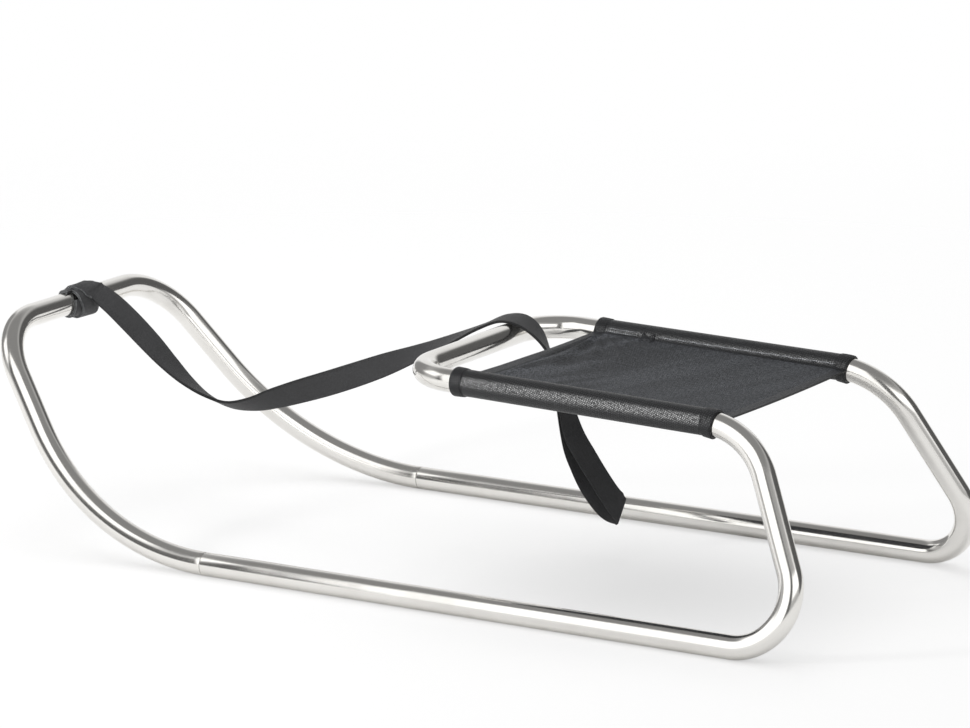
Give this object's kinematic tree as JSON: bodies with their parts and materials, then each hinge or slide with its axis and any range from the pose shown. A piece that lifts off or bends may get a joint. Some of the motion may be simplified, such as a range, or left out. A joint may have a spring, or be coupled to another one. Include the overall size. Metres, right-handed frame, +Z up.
{
  "type": "tubular steel luge sled",
  "caption": "Recreational snow sled: one bent steel tube loop forms the runners, front bow and seat rails, with a sewn fabric seat and a doubled webbing pull strap.",
  "frame": {"origin": "on the floor under the middle of the tube frame's length and width, strap left out", "axes": "+X forward to the upswept front bow, +Y to the sled's left, +Z up"},
  "size_m": [1.0195, 0.4572, 0.2465],
  "materials": {
    "frame_steel": "satin polished stainless tube",
    "seat_mesh": "dark grey coated mesh weave, slight sheen",
    "strap_webbing": "matte charcoal woven webbing"
  },
  "bodies": {
    "root": {"front_bow_tube": "frame_steel", "left_side_tube": "frame_steel", "right_side_tube": "frame_steel", "seat_bow_tube": "frame_steel", "seat_fabric": "seat_mesh", "strap_hitch": "strap_webbing", "strap_band": "strap_webbing"}
  },
  "joints": []
}
